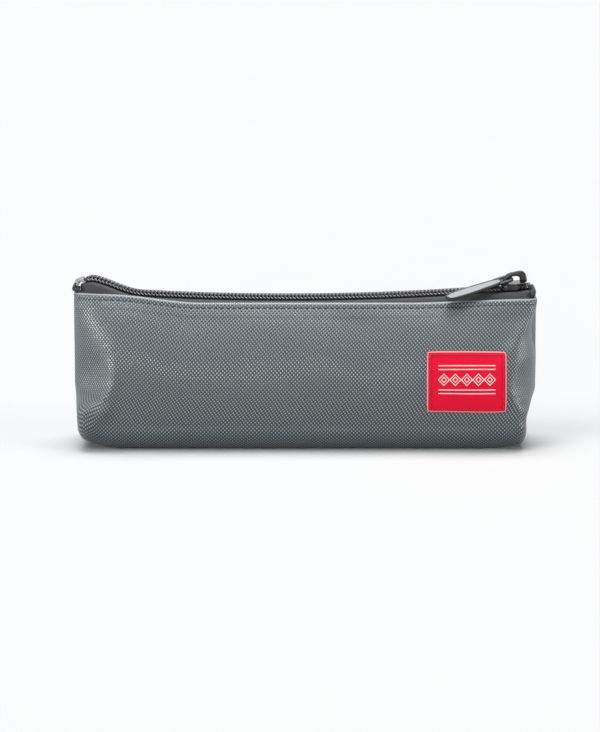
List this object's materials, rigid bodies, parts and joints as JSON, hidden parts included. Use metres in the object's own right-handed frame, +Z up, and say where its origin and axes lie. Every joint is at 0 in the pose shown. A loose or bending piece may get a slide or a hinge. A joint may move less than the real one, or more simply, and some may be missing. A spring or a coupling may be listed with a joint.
{
  "type": "pen case",
  "caption": "Slim boxed pouch of coated woven cloth with a coil zip along its curved mouth, a crowned slider and a long puller, and a woven patch low on the front.",
  "frame": {"origin": "under the middle of the flat base, on the surface that the case stands on", "axes": "+Z up, +X to the right of someone who faces the front, -Y out of the front with the woven patch; the closed end of the zip is at +X"},
  "size_m": [0.2055, 0.0467, 0.0776],
  "materials": {
    "cloth": "coated plain weave, blue grey",
    "patch": "satin woven, red",
    "binding": "woven tape, black",
    "tape": "herringbone zip tape, black",
    "nylon": "satin nylon, black",
    "black_metal": "glossy black enamel on zinc",
    "bright_metal": "bright pressed metal"
  },
  "bodies": {
    "case": {"front_panel": "cloth", "back_panel": "cloth", "label": "patch", "end_binding_left": "binding", "end_binding_right": "binding", "corner_binding_left": "binding", "corner_binding_right": "binding", "base_binding": "binding", "zip_tape_front": "tape", "zip_tape_back": "tape", "tape_end_left": "tape", "tape_end_right": "tape", "zip_coil_front": "nylon", "zip_coil_back": "nylon", "top_stop_front": "nylon", "top_stop_back": "nylon", "bottom_stop": "bright_metal"},
    "slider": {"slider_body": "black_metal", "slider_crown": "black_metal"},
    "puller": {"puller": "black_metal"}
  },
  "joints": [
    {"name": "slider_run", "type": "hinge", "parent": "case", "child": "slider", "pos_m": [-0.008, 0, 1.21693], "axis": [0, 1, 0], "range_deg": [0, 7.6], "deforming": ["zip_coil_front", "zip_coil_back"]},
    {"name": "puller_swing", "type": "hinge", "parent": "slider", "child": "puller", "pos_m": [0.09074, 0, 0.07446], "axis": [-0.464, 0.8759, 0.1325], "range_deg": [0, 145]}
  ]
}
